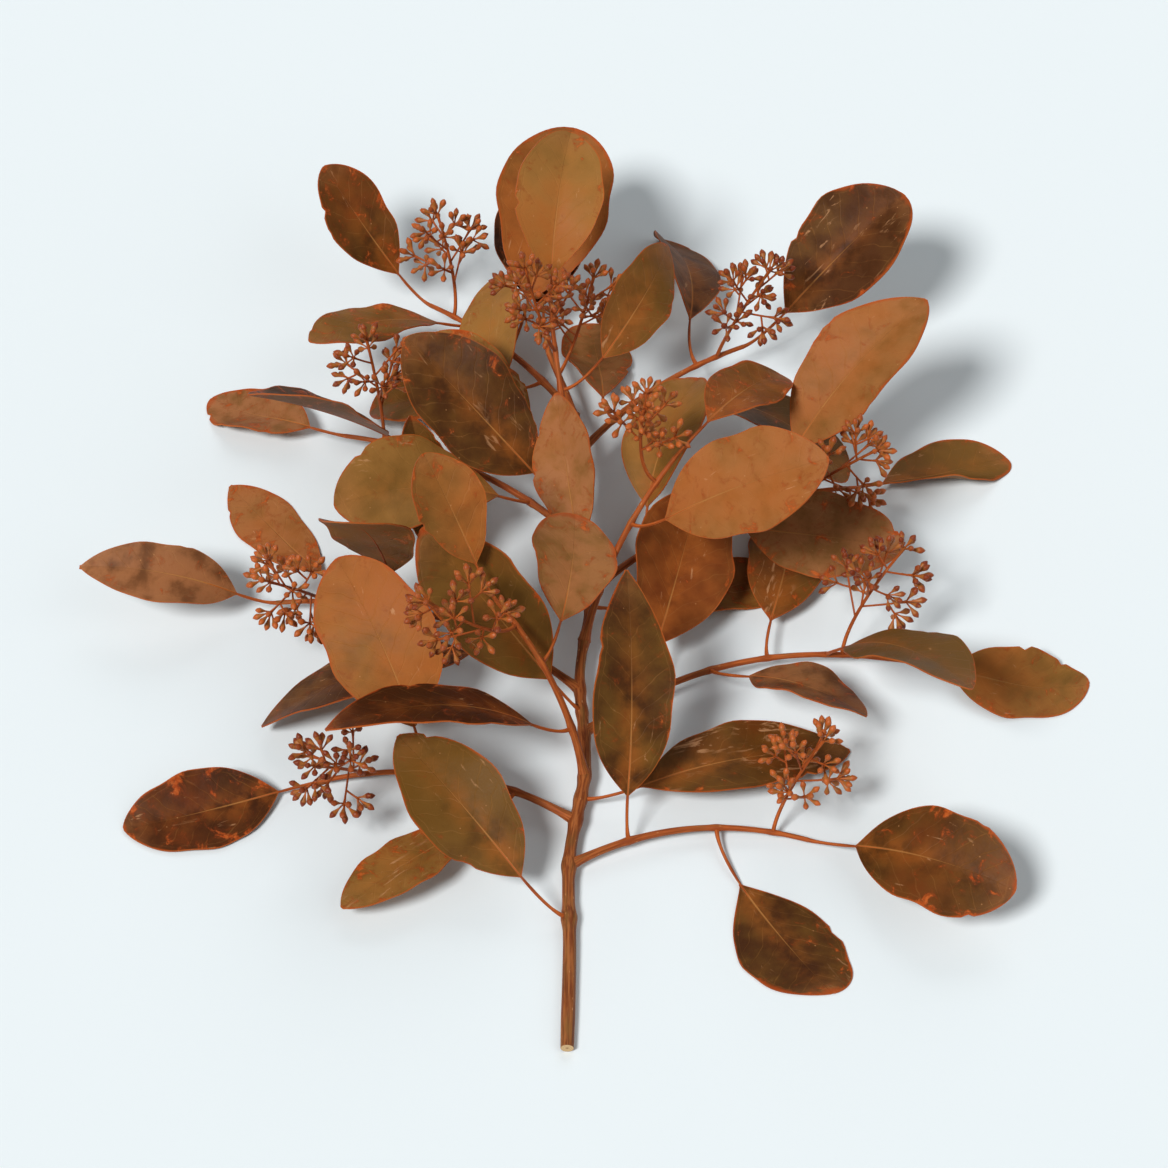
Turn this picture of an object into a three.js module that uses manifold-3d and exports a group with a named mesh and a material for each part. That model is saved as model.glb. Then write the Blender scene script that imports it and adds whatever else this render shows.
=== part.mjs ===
// A cut eucalyptus sprig with gum nuts, lying on a flat surface.
// Millimetres, +Z up, and z = 0 is the surface that the sprig lies on.
// Headings are compass angles in the plan, clockwise from +Y. Lifts are angles above the level.

import * as THREE from 'three';
import { mergeVertices } from 'three/addons/utils/BufferGeometryUtils.js';
import Module from 'manifold-3d';

const wasm = await Module();
wasm.setup();

// Driving dimensions of the wood
const STEM_LENGTH = 300;
const STEM_RADIUS = 2.5;
const STEM_TIP_RADIUS = 1.2;
const STEM_SIDES = 8;
const STEM_STEPS = 14;
const STEM_BENDS = 8;
const STEM_ZIGZAG = 1.8;
const STEM_SWAY = 0.06 * STEM_LENGTH;
const STEM_TIP_SWAY = -0.02 * STEM_LENGTH;
const STEM_LIFT = 0.055 * STEM_LENGTH;
const STEM_TIP_LIFT = 0.06 * STEM_LENGTH;
const TWIG_RADIUS = 1.45;
const TWIG_TIP_RADIUS = 0.85;
const TWIG_SIDES = 5;
const TWIG_STEPS = 5;

// Driving dimensions of a leaf
const LEAF_LENGTH = 68;
const LEAF_THICKNESS = 0.8;
const LEAF_CELLS_ACROSS = 4;
const LEAF_ROWS = [0, 0.07, 0.24, 0.48, 0.74, 0.93, 1];
const PETIOLE_LENGTH = 17;
const PETIOLE_ROWS = [0, 0.5];
const PETIOLE_WIDTH = 1.4;
const PETIOLE_BEFORE_BEND = 0.35;
const PETIOLE_AFTER_BEND = 0.75;

// Driving dimensions of a gum nut cluster
const CLUSTER_LENGTH = 46;
const CLUSTER_BEFORE_BEND = 0.3;
const CLUSTER_AFTER_BEND = 0.7;
const CLUSTER_TURN = 40;
const CLUSTER_STALK_RADIUS = 0.7;
const CLUSTER_BRANCH_LENGTH = 17;
const CLUSTER_BRANCH_RADIUS = 0.4;
const UMBEL_RADIUS = 0.75;
const CLUSTER_STALK_SIDES = 4;
const CLUSTER_STALK_STEPS = 4;
const CLUSTER_BRANCH_SIDES = 3;
const CLUSTER_BRANCHES = 5;
const CLUSTER_BRANCH_OPENING = 52;
const FIRST_BRANCH_AT = 0.42;
const BRANCHED_SHARE = 0.5;
const LOWEST_BRANCH_REACH = 1.1 * CLUSTER_BRANCH_LENGTH;
const HIGHEST_BRANCH_REACH = 0.6 * CLUSTER_BRANCH_LENGTH;
const UMBEL_TURN = 25;
const NEXT_UMBEL_TURN = 70;
const NUTS_AN_UMBEL = 6;
const EVERY_NUT = 1;
const EVERY_OTHER_NUT = 2;
const NUT_OPENING = 50;
const PEDICEL_LENGTH = 3.3;
const PEDICEL_RADIUS = 0.32;
const NUT_LENGTH = 4.3;
const NUT_RADIUS = 1.35;
const NUT_SIDES = 3;
const NUT_WIDEST_AT = 0.55;
const PEDICEL_ROUNDING = 0.1;

// Gaps between pieces
const SEAT_GAP = 0.3;
const CLEARANCE = 0.4;
const CLEARANCE_TOLERANCE = 0.01;
const FLOOR_KNEE = 5;

const GOLDEN_ANGLE = 137.5;
const UP = new THREE.Vector3(0, 0, 1);
const { degToRad, lerp } = THREE.MathUtils;

// The side twigs: where each leaves the stem, its headings and lifts at both ends, its length and leaves.
const TWIGS = [
  { at: 0.24, heading: [60, 104], lift: [4, -6], length: 92, leaves: 3 },
  { at: 0.30, heading: [-56, -100], lift: [4, -6], length: 98, leaves: 3 },
  { at: 0.36, heading: [-18, -52], lift: [56, 34], length: 74, leaves: 3 },
  { at: 0.42, heading: [50, 96], lift: [4, -5], length: 126, leaves: 5 },
  { at: 0.48, heading: [-48, -92], lift: [4, -5], length: 128, leaves: 5 },
  { at: 0.55, heading: [24, 48], lift: [58, 34], length: 78, leaves: 3 },
  { at: 0.62, heading: [44, 80], lift: [4, -6], length: 114, leaves: 4 },
  { at: 0.69, heading: [-42, -76], lift: [4, -6], length: 110, leaves: 4 },
  { at: 0.76, heading: [-14, -8], lift: [50, 28], length: 66, leaves: 3 },
  { at: 0.83, heading: [36, 62], lift: [3, -5], length: 86, leaves: 4 },
  { at: 0.89, heading: [-32, -56], lift: [3, -5], length: 82, leaves: 4 },
];
const STEM_LEAVES = [0.17, 0.33, 0.45, 0.60, 0.74, 1.0];
const LEAF_LIFTS = [-14, 30, 6, 50, -6, 38, 16, 58];

// Unit vector of a heading and a lift, in degrees.
function aim(heading, lift) {
  const turn = degToRad(heading);
  const rise = degToRad(lift);
  return new THREE.Vector3(
    Math.sin(turn) * Math.cos(rise), Math.cos(turn) * Math.cos(rise), Math.sin(rise));
}

// A repeatable draw from 0 to 1 for one trait of one numbered piece.
function draw(number, trait) {
  const mixed = Math.sin(number * 127.1 + trait * 311.7) * 43758.5453;
  return mixed - Math.floor(mixed);
}

// A repeatable draw between two values.
function drawBetween(number, trait, low, high) {
  return lerp(low, high, draw(number, trait));
}

// A point moved by amounts along directions, given as direction, amount, direction, amount.
function moved(point, ...steps) {
  const result = point.clone();
  for (let i = 0; i < steps.length; i += 2) {
    result.addScaledVector(steps[i], steps[i + 1]);
  }
  return result;
}

// The sideways and upward directions across a path that runs in a direction.
function acrossPath(along) {
  const side = new THREE.Vector3().crossVectors(along, UP).normalize();
  const over = new THREE.Vector3().crossVectors(side, along);
  return { side, over };
}

// A tapered round rod bent along a curve, closed at both ends.
function bentRod(curve, startRadius, endRadius, sides, steps) {
  const flatSideDown = Math.PI / sides;
  const rod = new THREE.CylinderGeometry(
    endRadius, startRadius, 1, sides, steps, false, flatSideDown);
  const points = rod.attributes.position;
  for (let i = 0; i < points.count; i++) {
    const t = points.getY(i) + 0.5;
    const { side, over } = acrossPath(curve.getTangent(t));
    const point = moved(curve.getPoint(t), side, points.getX(i), over, points.getZ(i));
    points.setXYZ(i, point.x, point.y, point.z);
  }
  return rod;
}

// A closed plate about an open sheet of cells, with both faces split alike and a thickness at each point.
function thickened(sheet, columns, rows, thicknesses) {
  sheet.computeVertexNormals();
  const { position, normal } = sheet.attributes;
  const count = position.count;
  const points = [];
  for (const share of [0.5, -0.5]) {
    for (let i = 0; i < count; i++) {
      const face = new THREE.Vector3().fromBufferAttribute(position, i);
      const outward = new THREE.Vector3().fromBufferAttribute(normal, i);
      points.push(moved(face, outward, thicknesses[i] * share));
    }
  }
  const triangles = [];
  const cells = sheet.index.array;
  for (let i = 0; i < cells.length; i += 3) {
    triangles.push(cells[i], cells[i + 1], cells[i + 2]);
    triangles.push(cells[i] + count, cells[i + 2] + count, cells[i + 1] + count);
  }
  const at = (column, row) => column + (columns + 1) * row;
  const rim = [];
  for (let i = 0; i < columns; i++) rim.push(at(i, rows));
  for (let i = rows; i > 0; i--) rim.push(at(columns, i));
  for (let i = columns; i > 0; i--) rim.push(at(i, 0));
  for (let i = 0; i < rows; i++) rim.push(at(0, i));
  rim.forEach((a, i) => {
    const b = rim[(i + 1) % rim.length];
    triangles.push(a + count, b + count, b, a + count, b, a);
  });
  return new THREE.BufferGeometry().setFromPoints(points).setIndex(triangles);
}

// A closed geometry as a solid that can be joined and cut.
function toSolid(geometry) {
  geometry.deleteAttribute('normal');
  geometry.deleteAttribute('uv');
  const merged = mergeVertices(geometry, 1e-4);
  const corners = merged.index.array;
  const kept = [];
  for (let i = 0; i < corners.length; i += 3) {
    const [a, b, c] = corners.slice(i, i + 3);
    if (a !== b && b !== c && a !== c) kept.push(a, b, c);
  }
  return new wasm.Manifold(new wasm.Mesh({
    numProp: 3,
    vertProperties: merged.attributes.position.array,
    triVerts: new Uint32Array(kept),
  }));
}

// A solid as a geometry for a mesh.
function toGeometry(solid) {
  const { vertProperties, triVerts } = solid.getMesh();
  const geometry = new THREE.BufferGeometry();
  geometry.setAttribute('position', new THREE.BufferAttribute(vertProperties, 3));
  geometry.setIndex(new THREE.BufferAttribute(triVerts, 1));
  geometry.computeVertexNormals();
  return geometry;
}

// The stem's line: level at the cut end, then rising a little and stepping from side to side at its nodes.
const CUT_HEIGHT = STEM_RADIUS * Math.cos(Math.PI / STEM_SIDES);
const stemSweep = new THREE.CubicBezierCurve3(
  new THREE.Vector3(0, 0, CUT_HEIGHT),
  new THREE.Vector3(0, 0.34 * STEM_LENGTH, CUT_HEIGHT),
  new THREE.Vector3(STEM_SWAY, 0.68 * STEM_LENGTH, STEM_LIFT),
  new THREE.Vector3(STEM_TIP_SWAY, STEM_LENGTH, STEM_TIP_LIFT));
const stemPoints = stemSweep.getPoints(STEM_BENDS);
stemPoints.forEach((point, i) => {
  if (i > 1) point.x += i % 2 ? STEM_ZIGZAG : -STEM_ZIGZAG;
});
const stemLine = new THREE.CatmullRomCurve3(stemPoints, false, 'catmullrom', 0.5);
const stemRadius = (t) => lerp(STEM_RADIUS, STEM_TIP_RADIUS, t);
const twigRadius = (t) => lerp(TWIG_RADIUS, TWIG_TIP_RADIUS, t);

// A twig's line: it leaves the stem on one heading and arches over to another.
function twigLine({ at, heading, lift, length }) {
  const foot = stemLine.getPoint(at);
  const elbow = moved(foot, aim(heading[0], lift[0]), length / 2);
  const tip = moved(elbow, aim(heading[1], lift[1]), length / 2);
  return new THREE.QuadraticBezierCurve3(foot, elbow, tip);
}
const twigs = TWIGS.map((twig) => ({ ...twig, line: twigLine(twig) }));

// The stem with its twigs, grown as one piece.
function stemSolid() {
  const rods = twigs.map(
    ({ line }) => bentRod(line, TWIG_RADIUS, TWIG_TIP_RADIUS, TWIG_SIDES, TWIG_STEPS));
  const trunk = bentRod(stemLine, STEM_RADIUS, STEM_TIP_RADIUS, STEM_SIDES, STEM_STEPS);
  return rods.reduce((wood, rod) => wood.add(toSolid(rod)), toSolid(trunk));
}

// Where a stalk is seated: on the side of the wood facing a direction, or on its tip.
function seatOn(line, radiusAt, t, direction) {
  const along = line.getTangent(t);
  if (t === 1) return { seat: moved(line.getPoint(t), along, SEAT_GAP), out: along };
  const out = moved(direction, along, -direction.dot(along)).normalize();
  return { seat: moved(line.getPoint(t), out, radiusAt(t) + SEAT_GAP), out };
}

// The compass heading of a direction, in degrees.
function headingOf({ x, y }) {
  return THREE.MathUtils.radToDeg(Math.atan2(x, y));
}

// A leaf's own traits, drawn from its number, and where it grows.
function leafPlan(number, line, radiusAt, t, side) {
  const along = line.getTangent(t);
  const spread = t === 1 ? drawBetween(number, 1, -16, 16) : side * drawBetween(number, 1, 40, 66);
  const breadth = draw(number, 4);
  const smallerToTheTip = lerp(1.04, 0.88, t);
  const longerIfNarrow = lerp(1.14, 0.94, breadth);
  const length = LEAF_LENGTH * drawBetween(number, 2, 0.74, 1.16) * smallerToTheTip * longerIfNarrow;
  return {
    line,
    radiusAt,
    t,
    heading: headingOf(along) + spread,
    lift: LEAF_LIFTS[number % LEAF_LIFTS.length] + drawBetween(number, 3, -6, 6),
    length,
    halfWidth: length * lerp(0.18, 0.32, breadth),
    basePower: drawBetween(number, 5, 0.66, 0.92),
    tipPower: lerp(0.82, 0.56, breadth) + drawBetween(number, 6, -0.03, 0.06),
    petiole: PETIOLE_LENGTH * drawBetween(number, 7, 0.75, 1.25),
    roll: drawBetween(number, 8, -34, 34),
    bend: degToRad(drawBetween(number, 9, 10, 58)),
    twist: degToRad(drawBetween(number, 10, -30, 30)),
    fold: drawBetween(number, 11, 0.03, 0.28),
    sickle: drawBetween(number, 12, -0.1, 0.1),
    wave: drawBetween(number, 13, 0.4, 1.6),
    wavePhase: drawBetween(number, 14, 0, 2 * Math.PI),
  };
}

// Half the blade's width at a share of its length: wedge-shaped at the foot, rounded at the tip.
function halfWidthAt({ halfWidth, basePower, tipPower }, u) {
  const widest = basePower / (basePower + tipPower);
  const share = (u / widest) ** basePower * ((1 - u) / (1 - widest)) ** tipPower;
  return Math.max(halfWidth * share, PETIOLE_WIDTH / 2);
}

// A height bent so that what would pass under a level lies on it, with a smooth knee.
function laidOn(level, z) {
  if (z > level + FLOOR_KNEE) return z;
  if (z < level - FLOOR_KNEE) return level;
  return level + (z - level + FLOOR_KNEE) ** 2 / (4 * FLOOR_KNEE);
}

// How far a leaf may be lifted, turned and stacked to clear its neighbours, least change first.
const STACK_STEP = 1.5;
const CLEARING = [];
for (const lift of [0, 9, -9, 18, -18, 27, -27, 36, 45]) {
  for (const turn of [0, 12, -12, 24, -24, 36, -36, 48, -48]) {
    for (const layer of [0, 1, 2]) {
      CLEARING.push({ lift, turn, layer });
    }
  }
}
const effort = ({ lift, turn, layer }) => Math.abs(lift) + Math.abs(turn) + 7 * layer;
CLEARING.sort((a, b) => effort(a) - effort(b));

// A leaf set in place: the foot of its blade, its own axes there and its petiole's line.
function placedLeaf(plan, { lift, turn, layer }) {
  const along = aim(plan.heading + turn, plan.lift + lift);
  const { seat, out } = seatOn(plan.line, plan.radiusAt, plan.t, along);
  const bendPoint = moved(seat, out, PETIOLE_BEFORE_BEND * plan.petiole);
  const foot = moved(bendPoint, along, PETIOLE_AFTER_BEND * plan.petiole);
  const { side, over } = acrossPath(along);
  const roll = degToRad(plan.roll);
  const level = layer * STACK_STEP + LEAF_THICKNESS / 2;
  return {
    ...plan,
    seat,
    bendPoint,
    foot,
    along,
    level,
    side: moved(side.clone().multiplyScalar(Math.cos(roll)), over, Math.sin(roll)),
    over: moved(over.clone().multiplyScalar(Math.cos(roll)), side, -Math.sin(roll)),
  };
}

// A point of a placed leaf's blade: u runs from foot to tip, v from edge to edge.
function bladePoint(leaf, u, v, spare) {
  const turned = leaf.bend * u;
  const radius = leaf.length / leaf.bend;
  const midrib = moved(leaf.foot, leaf.along, radius * Math.sin(turned),
    leaf.over, radius * (Math.cos(turned) - 1), leaf.side, leaf.sickle * leaf.length * u * u);
  const over = moved(leaf.over.clone().multiplyScalar(Math.cos(turned)),
    leaf.along, Math.sin(turned));
  const twisted = leaf.twist * u;
  const across = v * (halfWidthAt(leaf, u) + spare);
  const wave = leaf.wave * v * v * Math.sin(leaf.wavePhase + 3 * Math.PI * u) * Math.sin(Math.PI * u);
  const raise = leaf.fold * Math.abs(across) + wave;
  const point = moved(midrib,
    leaf.side, across * Math.cos(twisted) - raise * Math.sin(twisted),
    over, across * Math.sin(twisted) + raise * Math.cos(twisted));
  point.z = laidOn(leaf.level, point.z);
  return point;
}

// A point of a placed leaf's petiole, from its seat at t = 0 to the foot of the blade at t = 1.
function petiolePoint(leaf, t, v) {
  const line = new THREE.QuadraticBezierCurve3(leaf.seat, leaf.bendPoint, bladePoint(leaf, 0, 0, 0));
  const along = line.getTangent(t);
  const side = moved(leaf.side, along, -leaf.side.dot(along)).normalize();
  return moved(line.getPoint(t), side, v * PETIOLE_WIDTH / 2);
}

// A leaf's solid: a petiole that widens into a curved blade. Spare thickens it to test its clearance.
function leafSolid(leaf, spare = 0) {
  const rows = LEAF_ROWS.length + PETIOLE_ROWS.length - 1;
  const sheet = new THREE.PlaneGeometry(2, rows, LEAF_CELLS_ACROSS, rows);
  const points = sheet.attributes.position;
  const thicknesses = [];
  for (let i = 0; i < points.count; i++) {
    const row = Math.round(points.getY(i) + rows / 2);
    const v = points.getX(i);
    const onPetiole = row < PETIOLE_ROWS.length;
    const point = onPetiole
      ? petiolePoint(leaf, PETIOLE_ROWS[row], v)
      : bladePoint(leaf, LEAF_ROWS[row - PETIOLE_ROWS.length], v, spare);
    points.setXYZ(i, point.x, point.y, point.z);
    thicknesses.push(onPetiole ? PETIOLE_WIDTH : LEAF_THICKNESS + 2 * spare);
  }
  return toSolid(thickened(sheet, LEAF_CELLS_ACROSS, rows, thicknesses));
}

// A direction leaned off an axis by an opening angle and turned round it, in degrees.
function leanedOff(axis, opening, turn) {
  const { side, over } = acrossPath(axis);
  const lean = degToRad(opening);
  const round = degToRad(turn);
  return moved(axis.clone().multiplyScalar(Math.cos(lean)),
    side, Math.sin(lean) * Math.cos(round), over, Math.sin(lean) * Math.sin(round)).normalize();
}

// A gum nut on its pedicel: a slender club that swells to the nut and closes in a pointed cap.
function nutSolid(foot, direction) {
  const profile = [
    [0, 0],
    [PEDICEL_RADIUS, PEDICEL_ROUNDING],
    [NUT_RADIUS, PEDICEL_LENGTH + NUT_WIDEST_AT * NUT_LENGTH],
    [0, PEDICEL_LENGTH + NUT_LENGTH],
  ].map(([radius, height]) => new THREE.Vector2(radius, height));
  const nut = new THREE.LatheGeometry(profile, NUT_SIDES);
  nut.applyQuaternion(
    new THREE.Quaternion().setFromUnitVectors(new THREE.Vector3(0, 1, 0), direction));
  nut.translate(foot.x, foot.y, foot.z);
  return toSolid(nut);
}

// A cluster's own traits and where it grows.
function clusterPlan(number, line, radiusAt, t, side) {
  return {
    number,
    line,
    radiusAt,
    t,
    heading: headingOf(line.getTangent(t)) + side * drawBetween(number, 21, 22, 46),
    lift: drawBetween(number, 22, 44, 66),
    length: CLUSTER_LENGTH * drawBetween(number, 23, 0.85, 1.15),
  };
}

// A cluster set in place: its stalk's line and its umbels, each the end of a branch.
function placedCluster(plan, { lift, turn }) {
  const along = aim(plan.heading + turn, plan.lift + lift);
  const { seat, out } = seatOn(plan.line, plan.radiusAt, plan.t, along);
  const bendPoint = moved(seat, out, CLUSTER_BEFORE_BEND * plan.length);
  const tip = moved(bendPoint, along, CLUSTER_AFTER_BEND * plan.length);
  const stalk = new THREE.QuadraticBezierCurve3(seat, bendPoint, tip);
  const firstTurn = UMBEL_TURN * plan.number;
  const umbels = [{ root: tip, foot: tip, axis: along, turn: firstTurn }];
  for (let i = 0; i < CLUSTER_BRANCHES; i++) {
    const share = i / CLUSTER_BRANCHES;
    const root = stalk.getPoint(FIRST_BRANCH_AT + BRANCHED_SHARE * share);
    const axis = leanedOff(
      along, CLUSTER_BRANCH_OPENING, CLUSTER_TURN * plan.number + GOLDEN_ANGLE * i);
    const reach = lerp(LOWEST_BRANCH_REACH, HIGHEST_BRANCH_REACH, share);
    const turn = firstTurn + NEXT_UMBEL_TURN * (i + 1);
    umbels.push({ root, foot: moved(root, axis, reach), axis, turn });
  }
  return { ...plan, stalk, umbels };
}

// The direction of one nut of an umbel: the first along the branch, the others round it.
function nutDirection({ axis, turn }, index) {
  if (index === 0) return axis;
  return leanedOff(axis, NUT_OPENING, turn + index * 360 / (NUTS_AN_UMBEL - 1));
}

// A cluster's solid, with every nut of its umbels or only one nut in each step of them.
function clusterSolid({ stalk, umbels }, nutStep) {
  let solid = toSolid(bentRod(
    stalk, CLUSTER_STALK_RADIUS, UMBEL_RADIUS, CLUSTER_STALK_SIDES, CLUSTER_STALK_STEPS));
  for (const umbel of umbels) {
    if (umbel.root !== umbel.foot) {
      const branch = new THREE.LineCurve3(umbel.root, umbel.foot);
      solid = solid.add(toSolid(bentRod(
        branch, CLUSTER_BRANCH_RADIUS, UMBEL_RADIUS, CLUSTER_BRANCH_SIDES, 1)));
    }
    const nutFoot = moved(umbel.foot, umbel.axis, -UMBEL_RADIUS);
    for (let i = 0; i < NUTS_AN_UMBEL; i += nutStep) {
      solid = solid.add(nutSolid(nutFoot, nutDirection(umbel, i)));
    }
  }
  return solid;
}

// True where a solid is clear of all those already placed and doesn't reach under the surface.
function isClear(solid, placed) {
  const box = solid.boundingBox();
  if (box.min[2] < -CLEARANCE - CLEARANCE_TOLERANCE) return false;
  return placed.every((other) => {
    const theirs = other.boundingBox();
    const apart = box.min.some((low, i) => low > theirs.max[i] || box.max[i] < theirs.min[i]);
    return apart || solid.intersect(other).isEmpty();
  });
}

// The first way of setting a piece that is clear of those already placed.
function firstClear(plan, place, testSolid, placed) {
  for (const change of CLEARING) {
    const piece = place(plan, change);
    if (isClear(testSolid(piece), placed)) return piece;
  }
  throw new Error('no clear place was found');
}

function material(colour, roughness) {
  return new THREE.MeshStandardMaterial({ color: colour, roughness, metalness: 0 });
}

const LEAF_COLOURS = [0x8a5a2b, 0x7a4526, 0x94683a, 0x6e3c22];
const STEM_COLOUR = 0xa5562a;
const NUT_COLOUR = 0x9c4a28;
const LEAF_ROUGHNESS = 0.6;
const WOOD_ROUGHNESS = 0.7;

// The sprig: wood first, then the clusters, then the leaves, each kept clear of the ones before.
// A cluster carries every other one of the nuts that it is given room for.
const sprig = new THREE.Group();
const placed = [];

function addPiece(name, solid, finish) {
  const mesh = new THREE.Mesh(toGeometry(solid), finish);
  mesh.name = name;
  sprig.add(mesh);
}

const numbered = (name, number) => `${name}_${String(number).padStart(2, '0')}`;

const wood = stemSolid();
placed.push(wood);
addPiece('stem', wood, material(STEM_COLOUR, WOOD_ROUGHNESS));

// One cluster near the tip of each twig, on the side away from its last side leaf, and one on the stem.
const TWIG_CLUSTER_SEAT = 0.86;
const STEM_CLUSTER_SEAT = 0.96;
const clusterPlans = twigs.map(({ line, leaves }, i) => clusterPlan(
  i + 1, line, twigRadius, TWIG_CLUSTER_SEAT, leaves % 2 ? -1 : 1));
clusterPlans.push(clusterPlan(twigs.length + 1, stemLine, stemRadius, STEM_CLUSTER_SEAT, 1));
clusterPlans.forEach((plan, i) => {
  const fullCluster = (piece) => clusterSolid(piece, EVERY_NUT);
  const cluster = firstClear(plan, placedCluster, fullCluster, placed);
  placed.push(fullCluster(cluster));
  addPiece(numbered('gum_nut_cluster', i + 1), clusterSolid(cluster, EVERY_OTHER_NUT),
    material(NUT_COLOUR, WOOD_ROUGHNESS));
});

// The leaves of the stem and then of each twig, on alternate sides, the last one on the tip.
const FIRST_LEAF_ON_TWIG = 0.26;
const leafPlans = [];
STEM_LEAVES.forEach((t, i) => {
  leafPlans.push(leafPlan(leafPlans.length + 1, stemLine, stemRadius, t, i % 2 ? 1 : -1));
});
for (const { line, leaves } of twigs) {
  for (let i = 0; i < leaves; i++) {
    const t = lerp(FIRST_LEAF_ON_TWIG, 1, i / (leaves - 1));
    leafPlans.push(leafPlan(leafPlans.length + 1, line, twigRadius, t, i % 2 ? 1 : -1));
  }
}
leafPlans.forEach((plan, i) => {
  const spaciousLeaf = (piece) => leafSolid(piece, CLEARANCE);
  const leaf = firstClear(plan, placedLeaf, spaciousLeaf, placed);
  const solid = leafSolid(leaf);
  placed.push(solid);
  addPiece(numbered('leaf', i + 1), solid,
    material(LEAF_COLOURS[i % LEAF_COLOURS.length], LEAF_ROUGHNESS));
});

// The origin is under the middle of the sprig's box, on the surface.
const box = new THREE.Box3().setFromObject(sprig);
const middle = box.getCenter(new THREE.Vector3());
sprig.position.set(-middle.x, -middle.y, 0);

export default sprig;
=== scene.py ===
"""A cut eucalyptus sprig with gum nuts, lying on a flat surface, with all its wood, leaves and nuts.

The growth rule is the same as the solids', in millimetres from the cut end of the stem. Headings are compass
angles in the plan, clockwise from +Y, and lifts are angles above the level, both in degrees.
"""

import math
from types import SimpleNamespace

import bmesh
import bpy
import numpy as np
from mathutils import Matrix, Vector
from mathutils.bvhtree import BVHTree


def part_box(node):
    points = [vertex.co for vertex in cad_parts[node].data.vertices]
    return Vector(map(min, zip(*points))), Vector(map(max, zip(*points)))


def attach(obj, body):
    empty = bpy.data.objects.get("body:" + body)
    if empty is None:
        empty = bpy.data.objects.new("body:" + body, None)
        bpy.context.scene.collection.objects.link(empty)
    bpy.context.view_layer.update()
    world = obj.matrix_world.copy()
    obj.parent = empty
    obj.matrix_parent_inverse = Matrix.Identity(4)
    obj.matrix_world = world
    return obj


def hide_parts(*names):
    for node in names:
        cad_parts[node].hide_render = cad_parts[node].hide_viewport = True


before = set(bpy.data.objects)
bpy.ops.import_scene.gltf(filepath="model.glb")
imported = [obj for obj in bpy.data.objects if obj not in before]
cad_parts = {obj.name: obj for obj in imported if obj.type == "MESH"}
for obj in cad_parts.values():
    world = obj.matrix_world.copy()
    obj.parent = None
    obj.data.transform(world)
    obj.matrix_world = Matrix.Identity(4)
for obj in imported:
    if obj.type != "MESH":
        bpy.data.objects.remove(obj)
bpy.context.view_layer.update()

MM = 0.001
UP = np.array((0.0, 0.0, 1.0))
GOLDEN_ANGLE = 137.5

# Wood
STEM_LENGTH = 300
STEM_RADIUS = 2.5
STEM_TIP_RADIUS = 1.2
STEM_SWAY = 0.06 * STEM_LENGTH
STEM_TIP_SWAY = -0.02 * STEM_LENGTH
STEM_LIFT = 0.055 * STEM_LENGTH
STEM_TIP_LIFT = 0.06 * STEM_LENGTH
STEM_BENDS = 8
STEM_ZIGZAG = 1.8
STEM_SIDES = 20
STEM_STEPS = 220
STEM_AGES = (1.0, 0.3)
STEM_KNUCKLE_SWELL = 0.3
STEM_KNUCKLE_LENGTH = 3.2
SOLID_STEM_SIDES = 8
TWIG_RADIUS = 1.45
TWIG_TIP_RADIUS = 0.85
TWIG_SIDES = 14
TWIG_STEPS = 80
TWIG_AGES = (0.5, 0.0)
TWIG_KNUCKLE_SWELL = 0.22
TWIG_KNUCKLE_LENGTH = 2.2
COLLAR_SWELL = 0.75
COLLAR_LENGTH = 4.0

# Leaves
LEAF_LENGTH = 68
LEAF_THICKNESS = 0.5
LEAF_CELLS_ACROSS = 18
LEAF_CELLS_ALONG = 34
LEAF_WAVES = 1.5
SOLID_LEAF_THICKNESS = 0.8
SOLID_LEAF_ROWS = (0, 0.07, 0.24, 0.48, 0.74, 0.93, 1)
SOLID_LEAF_COLUMNS = (-1, -0.5, 0, 0.5, 1)
LEAST_HALF_WIDTH = 0.3
SHOULDER_CUT = 0.45
SHOULDER_LENGTH = 0.07
EDGE_SWELL = 0.05
EDGE_SWELLS = 1.4
EDGE_WOBBLE = 0.025
EDGE_WOBBLES = 3.2
EDGE_RIPPLE = 0.28
EDGE_RIPPLES = 4.5
EDGE_NOTCHES = 3
NOTCHED_SHARE = 0.5
EDGE_CROWDING = 0.35
END_CROWDING = 0.6
TIP_RIM_SHARE = 0.6
SHEET_SPACING = 37.0
PETIOLE_LENGTH = 17
PETIOLE_WIDTH = 1.4
PETIOLE_BEFORE_BEND = 0.35
PETIOLE_AFTER_BEND = 0.75
PETIOLE_RADIUS = 0.58
PETIOLE_FOOT_RADIUS = 0.9
PETIOLE_FOOT_SHARE = 1 / 3
PETIOLE_NARROWS_AT = 0.7
PETIOLE_TIP_SHARE = 0.45
PETIOLE_SUNK = 0.5
PETIOLE_REACH = 0.09
PETIOLE_SIDES = 10
PETIOLE_STEPS = 18
KEEL_RADIUS = 0.5
KEEL_TIP_RADIUS = 0.14
KEEL_DROP = 0.12
KEEL_REACH = 0.86
KEEL_POINTS = 9
KEEL_SIDES = 8
KEEL_STEPS = 24
FLOOR_KNEE = 5
FLOOR_GAP = 0.02
STACK_STEP = 1.5

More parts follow.
